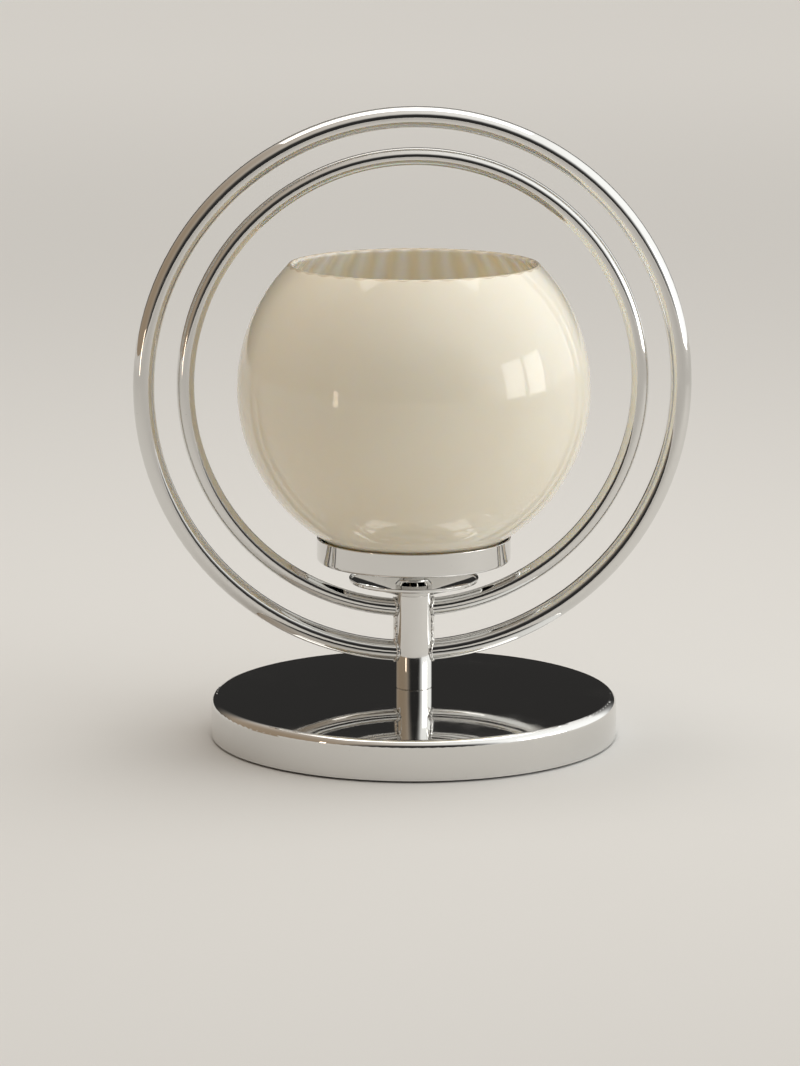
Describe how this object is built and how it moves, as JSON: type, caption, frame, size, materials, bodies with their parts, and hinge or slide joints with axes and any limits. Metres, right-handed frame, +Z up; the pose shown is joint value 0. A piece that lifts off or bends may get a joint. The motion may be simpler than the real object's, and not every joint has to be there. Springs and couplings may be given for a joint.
{
  "type": "table lamp",
  "caption": "Chrome table lamp with a round weighted base, concentric tube rings and an open-topped opal glass globe in a shallow cup.",
  "frame": {"origin": "centre of the base's underside, on the surface the lamp stands on", "axes": "+Z up along the stem; the rings lie in the XZ plane; the front faces -Y and the cord inlet +Y"},
  "size_m": [0.317, 0.2332, 0.3598],
  "materials": {
    "chrome": "bright nickel-chrome plate, mirror polished",
    "cast_iron": "raw grey cast iron, lightly painted",
    "zinc_steel": "bright zinc plate",
    "spring_steel": "blued spring steel strip",
    "felt": "black pressed felt",
    "black_rubber": "soft black rubber",
    "opal_glass": "cased opal glass, warm ivory, glossy outside",
    "frosted_glass": "soft white frosted glass",
    "bulb_metal": "plain rolled screw cap",
    "black_insulator": "black glass bead",
    "solder": "dull solder",
    "black_phenolic": "moulded black phenolic",
    "porcelain": "white unglazed porcelain",
    "brass": "bright brass sheet"
  },
  "bodies": {
    "lamp": {"base_shell": "chrome", "stem_tube": "chrome", "ring_outer": "chrome", "ring_inner": "chrome", "braze_outer_left": "chrome", "braze_outer_right": "chrome", "braze_inner_left": "chrome", "braze_inner_right": "chrome", "saucer": "chrome", "spacer": "chrome", "cup": "chrome", "base_weight": "cast_iron", "base_cover": "zinc_steel", "tie_rod": "zinc_steel", "base_washer": "zinc_steel", "base_nut": "zinc_steel", "stem_plug_lower": "zinc_steel", "stem_plug_upper": "zinc_steel", "cup_washer": "zinc_steel", "cup_nut": "zinc_steel", "glass_clip_1": "spring_steel", "glass_clip_2": "spring_steel", "glass_clip_3": "spring_steel", "base_felt": "felt", "cup_pad": "felt", "cord_bush": "black_rubber", "holder_cap": "black_phenolic", "holder_skirt": "black_phenolic", "holder_core": "porcelain", "holder_contact": "brass", "holder_screw_shell": "brass", "terminal_screw_left": "brass", "terminal_screw_right": "brass"},
    "globe": {"globe": "opal_glass"},
    "bulb_tip": {"bulb_tip": "solder"},
    "bulb": {"bulb_glass": "frosted_glass", "bulb_cap": "bulb_metal", "bulb_insulator": "black_insulator"}
  },
  "joints": [
    {"name": "globe_lift", "type": "slide", "parent": "lamp", "child": "globe", "axis": [0, 0, 1], "range_m": [0, 0.03]},
    {"name": "bulb_rise", "type": "slide", "parent": "lamp", "child": "bulb_tip", "axis": [0, 0, 1], "range_m": [0, 0.02]},
    {"name": "bulb_turn", "type": "hinge", "parent": "bulb_tip", "child": "bulb", "pos_m": [0, 0, 0.1304], "axis": [0, 0, 1], "range_deg": [0, 1980]}
  ],
  "couplings": [
    {"joint": "bulb_rise", "follows": "bulb_turn", "m_per_rad": 0.00057751}
  ]
}
